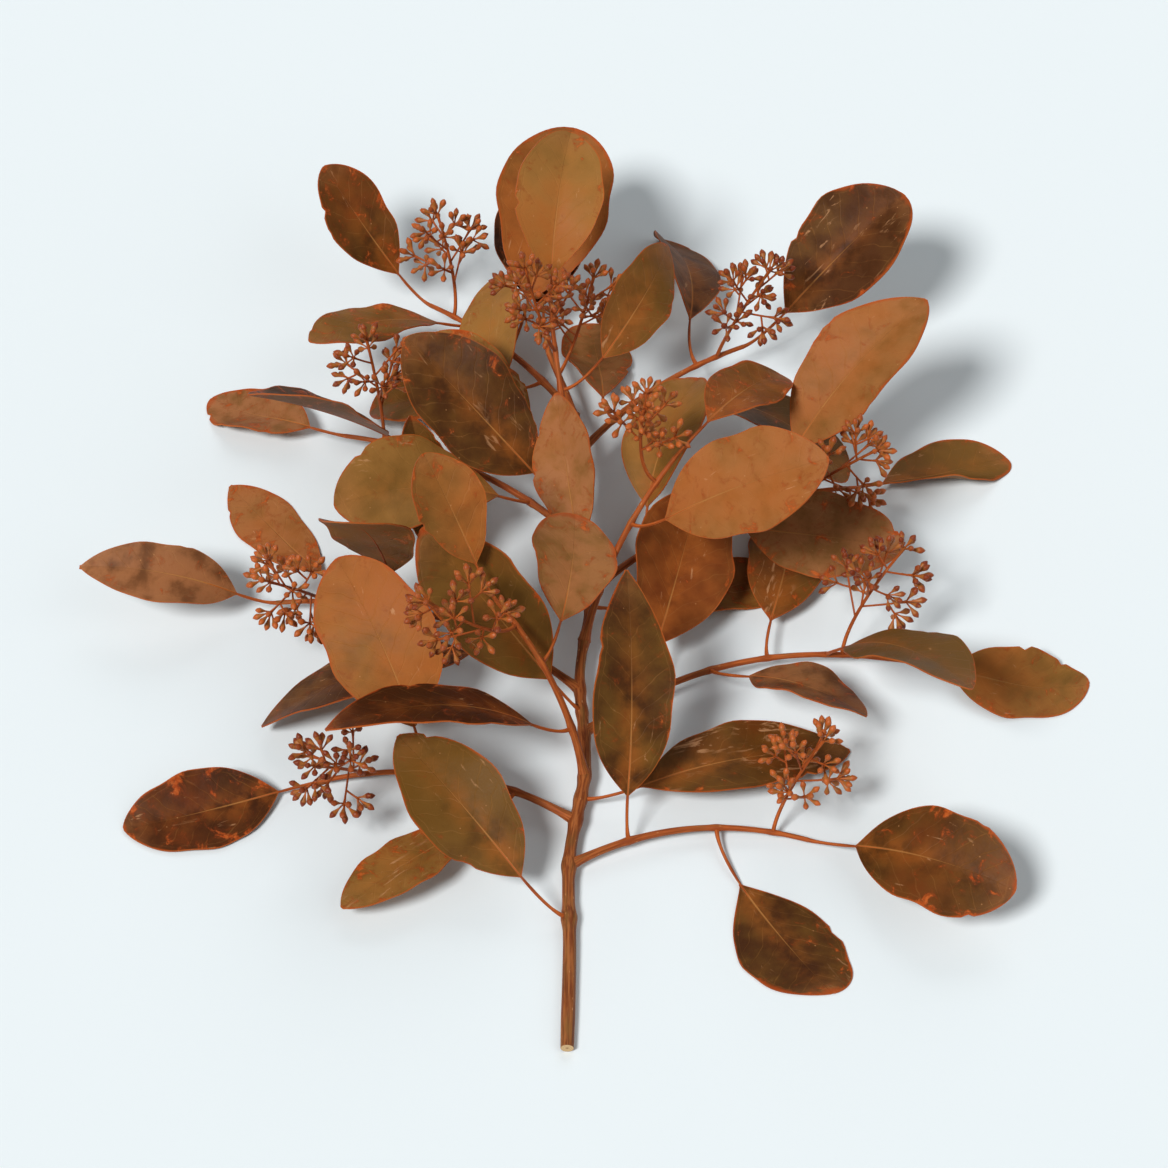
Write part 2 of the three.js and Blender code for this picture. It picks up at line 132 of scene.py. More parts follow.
# Gum nut clusters
CLUSTER_LENGTH = 46
CLUSTER_BEFORE_BEND = 0.3
CLUSTER_AFTER_BEND = 0.7
CLUSTER_TURN = 40
CLUSTER_BRANCHES = 5
CLUSTER_BRANCH_LENGTH = 17
CLUSTER_BRANCH_OPENING = 52
FIRST_BRANCH_AT = 0.42
BRANCHED_SHARE = 0.5
LOWEST_BRANCH_REACH = 1.1 * CLUSTER_BRANCH_LENGTH
HIGHEST_BRANCH_REACH = 0.6 * CLUSTER_BRANCH_LENGTH
BRANCH_RADIUS = 0.38
BRANCH_KNOB = 0.3
BRANCH_KNOB_AT = 0.8
BRANCH_SAG = 0.5
BRANCH_SIDES = 7
BRANCH_STEPS = 8
STALK_RADIUS = 0.75
STALK_TIP_RADIUS = 0.5
STALK_KNOB = 0.2
STALK_KNOB_AT = 0.93
STALK_SUNK = 0.6
STALK_SIDES = 10
STALK_STEPS = 26
UMBEL_RADIUS = 0.75
UMBEL_TURN = 25
NEXT_UMBEL_TURN = 70
BRANCH_UMBEL_AT = 0.58
BRANCH_UMBEL_STALK = 5.5
BRANCH_UMBEL_OPENING = 62
BRANCH_UMBEL_TURN = 50
NEXT_BRANCH_UMBEL_TURN = 97
STALK_UMBELS_AT = (0.52, 0.68, 0.84)
STALK_UMBEL_STALK = 1.3 * BRANCH_UMBEL_STALK
STALK_UMBEL_OPENING = 66
STALK_UMBEL_TURN = 50
BRANCH_NUTS_TURN = 33
STALK_NUTS_TURN = 47
NUTS_AN_UMBEL = 6
FEWEST_NUTS = 3
SOLID_NUTS = (0, 2, 4)
NUT_OPENING = 50
NUT_SIDES = 7
NUT_CLEARANCE = 0.2
PEDICEL_LENGTH = 3.3
NUT_LENGTH = 4.3
NUT_REACH = PEDICEL_LENGTH + NUT_LENGTH
SEAT_GAP = 0.3

# A nut with its pedicel: shares of the way along it and the radius there, and balls that fill it
NUT_PROFILE = [
    (0.0, 0.27), (0.34, 0.33), (0.52, 0.68), (0.68, 1.1), (0.745, 1.22), (0.85, 1.0), (0.94, 0.5), (1.0, 0.0),
]
NUT_BALLS = [(0.5, 0.6), (0.74, 1.2), (0.92, 0.6)]

# Each side twig: where it leaves the stem, its headings and lifts at both ends, its length and its leaves
TWIGS = [
    (0.24, (60, 104), (4, -6), 92, 3),
    (0.30, (-56, -100), (4, -6), 98, 3),
    (0.36, (-18, -52), (56, 34), 74, 3),
    (0.42, (50, 96), (4, -5), 126, 5),
    (0.48, (-48, -92), (4, -5), 128, 5),
    (0.55, (24, 48), (58, 34), 78, 3),
    (0.62, (44, 80), (4, -6), 114, 4),
    (0.69, (-42, -76), (4, -6), 110, 4),
    (0.76, (-14, -8), (50, 28), 66, 3),
    (0.83, (36, 62), (3, -5), 86, 4),
    (0.89, (-32, -56), (3, -5), 82, 4),
]
STEM_LEAVES = [0.17, 0.33, 0.45, 0.60, 0.74, 1.0]
LEAF_LIFTS = [-14, 30, 6, 50, -6, 38, 16, 58]
FIRST_LEAF_ON_TWIG = 0.26
TWIG_CLUSTER_SEAT = 0.86
STEM_CLUSTER_SEAT = 0.96


# Directions, draws and lines

def unit(vector):
    return vector / np.linalg.norm(vector)


def aim(heading, lift):
    """Unit vector of a heading and a lift."""
    turn, rise = math.radians(heading), math.radians(lift)
    return np.array((math.sin(turn) * math.cos(rise), math.cos(turn) * math.cos(rise), math.sin(rise)))


def lerp(low, high, share):
    return low + (high - low) * share


def draw(number, trait, low=0.0, high=1.0):
    """A repeatable draw between two values for one trait of one numbered piece."""
    mixed = math.sin(number * 127.1 + trait * 311.7) * 43758.5453
    return lerp(low, high, mixed - math.floor(mixed))


def bezier(*controls):
    """A line drawn by its control points, as a function of t from 0 to 1."""
    def at(t):
        share = np.asarray(t, float)[..., None]
        level = [np.asarray(point, float) for point in controls]
        while len(level) > 1:
            level = [a * (1 - share) + b * share for a, b in zip(level, level[1:])]
        return level[0]
    return at


def spline(points):
    """A smooth line through points, as a function of t from 0 to 1."""
    last = len(points) - 1
    padded = np.array([2 * points[0] - points[1], *points, 2 * points[-1] - points[-2]])

    def at(t):
        place = np.clip(np.asarray(t, float), 0, 1) * last
        step = np.minimum(place.astype(int), last - 1)
        w = (place - step)[..., None]
        before, start, end, after = (padded[step + i] for i in range(4))
        leave, arrive = (end - before) / 2, (after - start) / 2
        return (start + leave * w + (3 * (end - start) - 2 * leave - arrive) * w ** 2
                + (2 * (start - end) + leave + arrive) * w ** 3)
    return at


def tangent(line, t):
    return unit(line(min(t + 1e-4, 1)) - line(max(t - 1e-4, 0)))


def across_path(along):
    """The sideways and upward directions across a path that runs in a direction."""
    side = unit(np.cross(along, UP))
    return side, np.cross(side, along)


def leaned_off(axis, opening, turn):
    """A direction leaned off an axis by an opening angle and turned round it."""
    side, over = across_path(axis)
    lean, turned = math.radians(opening), math.radians(turn)
    return unit(axis * math.cos(lean)
                + (side * math.cos(turned) + over * math.sin(turned)) * math.sin(lean))


def heading_of(direction):
    return math.degrees(math.atan2(direction[0], direction[1]))


# The lines of the stem and the twigs

CUT_HEIGHT = STEM_RADIUS * math.cos(math.pi / SOLID_STEM_SIDES)


def stem_line():
    sweep = bezier((0, 0, CUT_HEIGHT),
                   (0, 0.34 * STEM_LENGTH, CUT_HEIGHT),
                   (STEM_SWAY, 0.68 * STEM_LENGTH, STEM_LIFT),
                   (STEM_TIP_SWAY, STEM_LENGTH, STEM_TIP_LIFT))
    points = sweep(np.linspace(0, 1, STEM_BENDS + 1))
    for i in range(2, STEM_BENDS + 1):
        points[i, 0] += STEM_ZIGZAG if i % 2 else -STEM_ZIGZAG
    return spline(points)


def twig_line(stem, at, heading, lift, length):
    foot = stem(at)
    elbow = foot + aim(heading[0], lift[0]) * length / 2
    tip = elbow + aim(heading[1], lift[1]) * length / 2
    return bezier(foot, elbow, tip)


def stem_radius(t):
    return lerp(STEM_RADIUS, STEM_TIP_RADIUS, t)


def twig_radius(t):
    return lerp(TWIG_RADIUS, TWIG_TIP_RADIUS, t)


STEM = stem_line()
TWIG_LINES = [twig_line(STEM, *twig[:4]) for twig in TWIGS]


def seat_on(line, radius_at, t, direction):
    """Where a stalk is seated: on the side of the wood facing a direction, or on its tip."""
    along = tangent(line, t)
    if t == 1:
        return line(t) + along * SEAT_GAP, along
    out = unit(direction - along * direction.dot(along))
    return line(t) + out * (radius_at(t) + SEAT_GAP), out


# The growth of leaves and clusters

def leaf_plan(number, line, radius_at, t, side):
    """A leaf's own traits, drawn from its number, and where it grows."""
    spread = draw(number, 1, -16, 16) if t == 1 else side * draw(number, 1, 40, 66)
    breadth = draw(number, 4)
    length = (LEAF_LENGTH * draw(number, 2, 0.74, 1.16)
              * lerp(1.04, 0.88, t) * lerp(1.14, 0.94, breadth))
    return SimpleNamespace(
        number=number, line=line, radius_at=radius_at, t=t,
        heading=heading_of(tangent(line, t)) + spread,
        lift=LEAF_LIFTS[number % len(LEAF_LIFTS)] + draw(number, 3, -6, 6),
        length=length,
        half_width=length * lerp(0.18, 0.32, breadth),
        base_power=draw(number, 5, 0.66, 0.92),
        tip_power=lerp(0.82, 0.56, breadth) + draw(number, 6, -0.03, 0.06),
        petiole=PETIOLE_LENGTH * draw(number, 7, 0.75, 1.25),
        roll=math.radians(draw(number, 8, -34, 34)),
        bend=math.radians(draw(number, 9, 10, 58)),
        twist=math.radians(draw(number, 10, -30, 30)),
        fold=draw(number, 11, 0.03, 0.28),
        sickle=draw(number, 12, -0.1, 0.1),
        wave=draw(number, 13, 0.4, 1.6),
        wave_phase=draw(number, 14, 0, 2 * math.pi))


def half_width_at(leaf, u):
    """Half the blade's width at a share of its length."""
    widest = leaf.base_power / (leaf.base_power + leaf.tip_power)
    share = (u / widest) ** leaf.base_power * ((1 - u) / (1 - widest)) ** leaf.tip_power
    return np.maximum(leaf.half_width * share, PETIOLE_WIDTH / 2)


def laid_on(level, z):
    """Heights bent so that what would pass under a level lies on it, with a smooth knee."""
    knee = level + (z - level + FLOOR_KNEE) ** 2 / (4 * FLOOR_KNEE)
    return np.where(z > level + FLOOR_KNEE, z, np.where(z < level - FLOOR_KNEE, level, knee))


def placed_leaf(plan, lift, turn, layer):
    """A leaf set in place: the foot of its blade, its own axes there and its petiole's bend."""
    along = aim(plan.heading + turn, plan.lift + lift)
    seat, out = seat_on(plan.line, plan.radius_at, plan.t, along)
    bend_point = seat + out * PETIOLE_BEFORE_BEND * plan.petiole
    side, over = across_path(along)
    return SimpleNamespace(
        **vars(plan), along=along, seat=seat, out=out, bend_point=bend_point,
        side=side * math.cos(plan.roll) + over * math.sin(plan.roll),
        over=over * math.cos(plan.roll) - side * math.sin(plan.roll),
        foot=bend_point + along * PETIOLE_AFTER_BEND * plan.petiole,
        level=layer * STACK_STEP + SOLID_LEAF_THICKNESS / 2)


def blade_points(leaf, u, v, half_width=None, ripple=0.0):
    """Points of a blade: u runs from foot to tip, v from edge to edge, and a ripple raises it."""
    if half_width is None:
        half_width = half_width_at(leaf, u)
    turned = (leaf.bend * u)[..., None]
    radius = leaf.length / leaf.bend
    midrib = (leaf.foot + leaf.along * radius * np.sin(turned) + leaf.over * radius * (np.cos(turned) - 1)
              + leaf.side * (leaf.sickle * leaf.length * u * u)[..., None])
    over = leaf.over * np.cos(turned) + leaf.along * np.sin(turned)
    across = v * half_width
    wave = leaf.wave * v * v * np.sin(leaf.wave_phase + 2 * np.pi * LEAF_WAVES * u) * np.sin(np.pi * u)
    raise_by = leaf.fold * np.abs(across) + wave + ripple
    twisted = leaf.twist * u
    points = (midrib
              + leaf.side * (across * np.cos(twisted) - raise_by * np.sin(twisted))[..., None]
              + over * (across * np.sin(twisted) + raise_by * np.cos(twisted))[..., None])
    points[..., 2] = laid_on(leaf.level, points[..., 2])
    return points


def cluster_plan(number, line, radius_at, t, side):
    """A cluster's own traits and where it grows."""
    return SimpleNamespace(
        number=number, line=line, radius_at=radius_at, t=t,
        heading=heading_of(tangent(line, t)) + side * draw(number, 21, 22, 46),
        lift=draw(number, 22, 44, 66),
        length=CLUSTER_LENGTH * draw(number, 23, 0.85, 1.15))


def new_umbel(root, axis, reach, turn):
    """An umbel: the root of the branch that carries it, its foot, its axis and its turn."""
    return SimpleNamespace(root=root, foot=root + axis * reach, axis=axis, turn=turn)


def placed_cluster(plan, lift, turn, _):
    """A cluster set in place: its stalk's line and its umbels. It isn't stacked, so it has no layer."""
    along = aim(plan.heading + turn, plan.lift + lift)
    seat, out = seat_on(plan.line, plan.radius_at, plan.t, along)
    bend_point = seat + out * CLUSTER_BEFORE_BEND * plan.length
    tip = bend_point + along * CLUSTER_AFTER_BEND * plan.length
    solid_stalk = bezier(seat, bend_point, tip)
    first_turn = UMBEL_TURN * plan.number
    umbels = [new_umbel(tip, along, 0, first_turn)]
    for i in range(CLUSTER_BRANCHES):
        share = i / CLUSTER_BRANCHES
        root = solid_stalk(FIRST_BRANCH_AT + BRANCHED_SHARE * share)
        axis = leaned_off(along, CLUSTER_BRANCH_OPENING, plan.number * CLUSTER_TURN + i * GOLDEN_ANGLE)
        reach = lerp(LOWEST_BRANCH_REACH, HIGHEST_BRANCH_REACH, share)
        umbels.append(new_umbel(root, axis, reach, first_turn + NEXT_UMBEL_TURN * (i + 1)))
    sunk_stalk = bezier(seat - out * (SEAT_GAP + STALK_SUNK), bend_point, tip)
    return SimpleNamespace(**vars(plan), stalk=sunk_stalk, umbels=umbels)


def nut_direction(umbel, index, opening=NUT_OPENING):
    """The direction of one nut of an umbel: the first along the branch, the others round it."""
    if index == 0:
        return umbel.axis
    return leaned_off(umbel.axis, opening, umbel.turn + index * 360 / (NUTS_AN_UMBEL - 1))


# Which way each leaf and cluster was set to clear its neighbours, read from the box of its solid

LIFT_CHANGES = (0, 9, -9, 18, -18, 27, -27, 36, 45)
TURN_CHANGES = (0, 12, -12, 24, -24, 36, -36, 48, -48)
LAYERS = (0, 1, 2)
LAYER_COST = 7
CHANGES = sorted(
    [(lift, turn, layer) for lift in LIFT_CHANGES for turn in TURN_CHANGES for layer in LAYERS],
    key=lambda change: abs(change[0]) + abs(change[1]) + LAYER_COST * change[2])
BOX_MATCH_LIMIT = 9.0
BOX_MATCH_TIE = 0.001
CUT_FACE_DEPTH = 0.2


def cut_end_of_stem():
    """The middle of the stem's cut face, in metres."""
    corners = np.array([vertex.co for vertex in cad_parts["stem"].data.vertices])
    face = corners[corners[:, 1] < corners[:, 1].min() + CUT_FACE_DEPTH * MM]
    return (face.min(axis=0) + face.max(axis=0)) / 2


CUT_END = cut_end_of_stem() - np.array((0, 0, CUT_HEIGHT * MM))


def to_metres(points):
    return np.asarray(points) * MM + CUT_END


def leaf_outline(leaf):
    """The points of a blade's solid and the seat of its petiole."""
    u, v = np.meshgrid(SOLID_LEAF_ROWS, SOLID_LEAF_COLUMNS)
    return np.vstack((blade_points(leaf, u.ravel(), v.ravel()), leaf.seat))


def cluster_outline(cluster):
    """Points of a cluster's stalk and the tips of the nuts that its solid carries."""
    tips = [umbel.foot + nut_direction(umbel, i) * NUT_REACH - umbel.axis * UMBEL_RADIUS
            for umbel in cluster.umbels for i in SOLID_NUTS]
    return np.vstack((cluster.stalk(np.linspace(0, 1, 5)), *tips))


def as_packed(plan, place, outline, node):
    """The piece set the way its solid was: the first of the ways whose box fits the solid's best."""
    low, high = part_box(node)
    best, best_gap = None, math.inf
    for change in CHANGES:
        piece = place(plan, *change)
        points = to_metres(outline(piece))
        gap = (np.abs(points.min(axis=0) - low).sum() + np.abs(points.max(axis=0) - high).sum()) / MM
        if gap < best_gap - BOX_MATCH_TIE:
            best, best_gap = piece, gap
    if best_gap > BOX_MATCH_LIMIT:
        raise ValueError(f"{node} is not where its rule puts it: {best_gap:.1f} mm off")
    return best


def twig_leaf_seats(leaves):
    """Where a twig's leaves sit, as shares of its length, the last one on its tip."""
    return [lerp(FIRST_LEAF_ON_TWIG, 1, i / (leaves - 1)) for i in range(leaves)]


def leaf_plans():
    """The leaves of the stem and then of each twig, on alternate sides."""
    seats = [(STEM, stem_radius, t, i) for i, t in enumerate(STEM_LEAVES)]
    for line, (*_, leaves) in zip(TWIG_LINES, TWIGS):
        seats += [(line, twig_radius, t, i) for i, t in enumerate(twig_leaf_seats(leaves))]
    return [leaf_plan(number, line, radius_at, t, 1 if i % 2 else -1)
            for number, (line, radius_at, t, i) in enumerate(seats, start=1)]


def cluster_plans():
    """One cluster near the tip of each twig, away from its last side leaf, and one on the stem."""
    plans = [cluster_plan(number, line, twig_radius, TWIG_CLUSTER_SEAT, -1 if twig[4] % 2 else 1)
             for number, (line, twig) in enumerate(zip(TWIG_LINES, TWIGS), start=1)]
    return plans + [cluster_plan(len(TWIGS) + 1, STEM, stem_radius, STEM_CLUSTER_SEAT, 1)]


LEAVES = [as_packed(plan, placed_leaf, leaf_outline, f"leaf_{plan.number:02d}") for plan in leaf_plans()]
CLUSTERS = [as_packed(plan, placed_cluster, cluster_outline, f"gum_nut_cluster_{plan.number:02d}")
            for plan in cluster_plans()]


# Shader helpers

def paint(code):
    """A colour from its screen code, in the linear values that shaders use."""
    values = [int(code[i:i + 2], 16) / 255 for i in (1, 3, 5)]
    return [v / 12.92 if v <= 0.04045 else ((v + 0.055) / 1.055) ** 2.4 for v in values] + [1.0]


def wire(tree, socket, value):
    """Joins a socket to another one, or sets it to a number or a colour."""
    if isinstance(value, bpy.types.NodeSocket):
        tree.links.new(value, socket)
    else:
        socket.default_value = value


def calc(tree, operation, *values, clamp=False):
    node = tree.nodes.new("ShaderNodeMath")
    node.operation = operation
    node.use_clamp = clamp
    for socket, value in zip(node.inputs, values):
        wire(tree, socket, value)
    return node.outputs[0]


def times(tree, first, second):
    return calc(tree, "MULTIPLY", first, second)


def total(tree, first, *others):
    for other in others:
        first = calc(tree, "ADD", first, other)
    return first


def swing(tree, value, amount):
    """How far a noise is from its middle, made as large as an amount."""
    return times(tree, calc(tree, "SUBTRACT", value, 0.5), amount)


def ease(tree, value, low, high, start=0.0, end=1.0):
    """A value eased from start to end as it passes from low to high."""
    node = tree.nodes.new("ShaderNodeMapRange")
    node.interpolation_type = "SMOOTHSTEP"
    for socket, setting in zip(node.inputs, (value, low, high, start, end)):
        wire(tree, socket, setting)
    return node.outputs[0]


def blend(tree, share, below, above):
    """One colour laid over another by a share."""
    node = tree.nodes.new("ShaderNodeMix")
    node.data_type = "RGBA"
    wire(tree, node.inputs[0], share)
    wire(tree, node.inputs[6], below)
    wire(tree, node.inputs[7], above)
    return node.outputs[2]


def noise(tree, place, scale, detail=3.0, roughness=0.55, distortion=0.0):
    node = tree.nodes.new("ShaderNodeTexNoise")
    wire(tree, node.inputs["Vector"], place)
    wire(tree, node.inputs["Scale"], scale)
    node.inputs["Detail"].default_value = detail
    node.inputs["Roughness"].default_value = roughness
    node.inputs["Distortion"].default_value = distortion
    return node.outputs[0]


def stretched(tree, place, scale):
    node = tree.nodes.new("ShaderNodeMapping")
    wire(tree, node.inputs["Vector"], place)
    node.inputs["Scale"].default_value = scale
    return node.outputs[0]


def surface_value(tree, name, output="Fac"):
    """A value that the piece's own points carry."""
    node = tree.nodes.new("ShaderNodeAttribute")
    node.attribute_name = name
    return node.outputs[output]


def split(tree, vector):
    node = tree.nodes.new("ShaderNodeSeparateXYZ")
    wire(tree, node.inputs[0], vector)
    return node.outputs


def object_place(tree):
    return tree.nodes.new("ShaderNodeTexCoord").outputs["Object"]


def new_material(name, specular):
    material = bpy.data.materials.new(name)
    material.use_nodes = True
    shader = material.node_tree.nodes["Principled BSDF"]
    shader.inputs["Specular IOR Level"].default_value = specular
    return material, material.node_tree, shader


def add_bump(tree, shader, height, strength, distance):
    bump = tree.nodes.new("ShaderNodeBump")
    bump.inputs["Strength"].default_value = strength
    bump.inputs["Distance"].default_value = distance
    wire(tree, bump.inputs["Height"], height)
    wire(tree, shader.inputs["Normal"], bump.outputs[0])


def make_speck_group():
    """Small scattered specks, as a mask."""
    tree = bpy.data.node_groups.new("scattered specks", "ShaderNodeTree")
    tree.interface.new_socket("Place", in_out="INPUT", socket_type="NodeSocketVector")
    for name in ("Scale", "Size", "Share"):
        tree.interface.new_socket(name, in_out="INPUT", socket_type="NodeSocketFloat")
    tree.interface.new_socket("Mask", in_out="OUTPUT", socket_type="NodeSocketFloat")
    given = tree.nodes.new("NodeGroupInput").outputs
    cells = tree.nodes.new("ShaderNodeTexVoronoi")
    wire(tree, cells.inputs["Vector"], given["Place"])
    wire(tree, cells.inputs["Scale"], given["Scale"])
    full_size = times(tree, given["Size"], 0.45)
    dot = ease(tree, cells.outputs["Distance"], full_size, given["Size"], 1.0, 0.0)
    chosen = calc(tree, "LESS_THAN", split(tree, cells.outputs["Color"])[0], given["Share"])
    wire(tree, tree.nodes.new("NodeGroupOutput").inputs[0], times(tree, dot, chosen))
    return tree


SPECK_GROUP = make_speck_group()


def specks(tree, place, scale, size, share):
    node = tree.nodes.new("ShaderNodeGroup")
    node.node_tree = SPECK_GROUP
    for name, value in (("Place", place), ("Scale", scale), ("Size", size), ("Share", share)):
        wire(tree, node.inputs[name], value)
    return node.outputs[0]


# Materials

LEAF_OLIVE = paint("#6f4c1d")
LEAF_RUST = paint("#6c3110")
LEAF_LIGHT_OLIVE = paint("#a27238")
LEAF_LIGHT_RUST = paint("#ae642b")
LEAF_UMBER = paint("#3b1a09")
LEAF_FLUSH = paint("#a85a20")
LEAF_PINK = paint("#a86e46")
LEAF_UNDERSIDE = paint("#96653b")
SCAR_HALO = paint("#823713")
SCAR_DARK = paint("#a4400f")
SCAR_BRIGHT = paint("#cb6429")
SCUFF = paint("#d09a6c")
VEIN = paint("#b47a40")
EDGE_BAND = paint("#b34816")
# Pale rim line: partly the edge's own colour, partly a painted highlight where light catches the rim
EDGE_LINE_AND_HIGHLIGHT = paint("#bb6328")
LEAF_SPECK = paint("#c48a58")
BARK_DARK = paint("#964419")
BARK_LIGHT = paint("#c06127")
OLD_BARK_DARK = paint("#5c341b")
OLD_BARK_LIGHT = paint("#986336")
BARK_OLIVE = paint("#835b2b")
BARK_SHADE = paint("#6b3116")
BARK_PORE = paint("#d89c63")
CUT_PALE = paint("#d8b98a")
CUT_RING = paint("#b98c57")
CUT_PITH = paint("#8b5a33")
CUT_RIM = paint("#7b4322")
NUT_STALK = paint("#b8632b")
NUT_BASE = paint("#a8662e")
NUT_CAP = paint("#be6027")
NUT_DEEP_CAP = paint("#7a3013")
NUT_TIP = paint("#552410")
NUT_MOTTLE = paint("#c68547")
NUT_FLECK = paint("#d7a06a")
FLOOR_COLOUR = paint("#eaf3f7")
SKY_COLOUR = paint("#f2f7f9")
VEIN_SPACING = 7.4


def leaf_fields(tree):
    """What a leaf's colour reads: the place on the blade in mm, the leaf's own draws, and noises."""
    sheet = surface_value(tree, "sheet", "Vector")
    place = split(tree, sheet)
    return SimpleNamespace(
        sheet=sheet,
        across=calc(tree, "ABSOLUTE", place[0]),
        along=place[1],
        tone=split(tree, surface_value(tree, "tone", "Vector")),
        marks=split(tree, surface_value(tree, "marks", "Vector")),
        share=surface_value(tree, "share"),
        rim=surface_value(tree, "rim"),
        under=surface_value(tree, "under"),
        broad=noise(tree, sheet, 0.035, 3),
        middling=noise(tree, sheet, 0.13, 5),
        fine=noise(tree, sheet, 1.1, 4))


def leaf_ground(tree, leaf):
    """Soft olive and rust patches, lighter on some leaves, with an orange flush by the midrib."""
    rusty = ease(tree, total(tree, leaf.tone[0], swing(tree, leaf.broad, 1.9)), 0.0, 1.0)
    light = total(tree, leaf.tone[1], swing(tree, leaf.broad, 0.8), swing(tree, leaf.middling, 0.42))
    colour = blend(tree, rusty, LEAF_OLIVE, LEAF_RUST)
    lighter = blend(tree, rusty, LEAF_LIGHT_OLIVE, LEAF_LIGHT_RUST)
    colour = blend(tree, ease(tree, light, 0.5, 1.1, 0.0, 0.9), colour, lighter)
    colour = blend(tree, ease(tree, light, 0.45, -0.02, 0.0, 0.9), colour, LEAF_UMBER)
    by_midrib = ease(tree, leaf.across, 0.0, 9.0, 1.0, 0.0)
    flush = times(tree, by_midrib, ease(tree, leaf.share, 0.0, 1.0, 0.5, 0.1))
    colour = blend(tree, times(tree, flush, ease(tree, leaf.middling, 0.3, 0.65)), colour, LEAF_FLUSH)
    pink_leaf = ease(tree, leaf.tone[2], 0.55, 0.95, 0.0, 0.8)
    pink = total(tree, pink_leaf, ease(tree, leaf.share, 0.78, 1.0, 0.0, 0.25))
    return blend(tree, times(tree, pink, ease(tree, leaf.middling, 0.3, 0.6, 0.35, 1.0)), colour, LEAF_PINK)


def leaf_scars(tree, leaf, colour):
    """Orange scars in redder halos, more of them near the edge. Gives the colour and the scars' mask."""
    near_edge = ease(tree, leaf.rim, 0.0, 8.0, 0.07, 0.0)
    field = total(tree, noise(tree, leaf.sheet, 0.16, 8, 0.66, 0.7), near_edge,
                  times(tree, leaf.marks[0], 0.09), swing(tree, leaf.fine, 0.10))
    colour = blend(tree, ease(tree, field, 0.6, 0.72, 0.0, 0.4), colour, SCAR_HALO)
    scar = ease(tree, field, 0.675, 0.76)
    bright = ease(tree, noise(tree, leaf.sheet, 0.5, 4), 0.35, 0.65)
    return blend(tree, times(tree, scar, 0.8), colour, blend(tree, bright, SCAR_DARK, SCAR_BRIGHT)), scar


def leaf_scuffs(tree, leaf, colour):
    """Pale streaks where the dye has worn off, faint on most leaves and strong on some, and small specks."""
    worn = ease(tree, leaf.marks[2], 0.5, 1.0)
    streaks = noise(tree, stretched(tree, leaf.sheet, (0.7, 0.16, 1.0)), 0.55, 5, 0.6, 0.9)
    scuff = ease(tree, total(tree, streaks, times(tree, worn, 0.08)), 0.64, 0.72)
    scuff = times(tree, scuff, ease(tree, leaf.broad, 0.42, 0.6))
    colour = blend(tree, times(tree, scuff, ease(tree, worn, 0.0, 1.0, 0.5, 0.7)), colour, SCUFF)
    return blend(tree, times(tree, specks(tree, leaf.sheet, 0.34, 0.12, 0.16), 0.5), colour, LEAF_SPECK)


def leaf_veins(tree, leaf):
    """The masks of the side veins, which curve forward to a loop near the edge, and of the midrib."""
    curve = times(tree, times(tree, leaf.across, leaf.across), 0.016)
    row = total(tree, leaf.along, times(tree, leaf.across, -1.15), curve,
                swing(tree, noise(tree, leaf.sheet, 0.07, 2), 9.0))
    place = calc(tree, "FRACT", calc(tree, "DIVIDE", row, VEIN_SPACING))
    gap = times(tree, calc(tree, "ABSOLUTE", calc(tree, "SUBTRACT", place, 0.5)), VEIN_SPACING)
    vein = times(tree, ease(tree, gap, 0.05, 0.4, 1.0, 0.0), ease(tree, leaf.rim, 1.2, 2.6))
    loop_gap = calc(tree, "SUBTRACT", leaf.rim, ease(tree, leaf.middling, 0.2, 0.8, 1.2, 2.6))
    loop = ease(tree, calc(tree, "ABSOLUTE", loop_gap), 0.05, 0.3, 0.8, 0.0)
    width = ease(tree, leaf.share, 0.0, 0.8, 0.55, 0.16)
    midrib = ease(tree, leaf.across, times(tree, width, 0.35), width, 1.0, 0.0)
    return calc(tree, "MAXIMUM", vein, loop), midrib


def leaf_edge(tree, leaf, colour):
    """An orange band along the edge, of uneven width, and a thin pale line on the edge itself, partly the
    edge's own colour and partly a painted highlight where light catches the rim.
    """
    width = times(tree, leaf.marks[1], ease(tree, leaf.middling, 0.3, 0.7, 0.3, 4.4))
    width = total(tree, times(tree, width, ease(tree, leaf.share, 0.3, 1.0, 0.3, 1.0)), 0.15)
    colour = blend(tree, ease(tree, leaf.rim, times(tree, width, 0.1), width, 0.65, 0.0), colour, EDGE_BAND)
    # Painted highlight: the pale line on the rim is partly the edge's colour and partly light catching the
    # edge, painted into the colour
    line = ease(tree, leaf.rim, 0.1, 0.45, 1.0, 0.0)
    line = times(tree, line, ease(tree, leaf.broad, 0.35, 0.65, 0.12, 0.65))
    return blend(tree, line, colour, EDGE_LINE_AND_HIGHLIGHT)


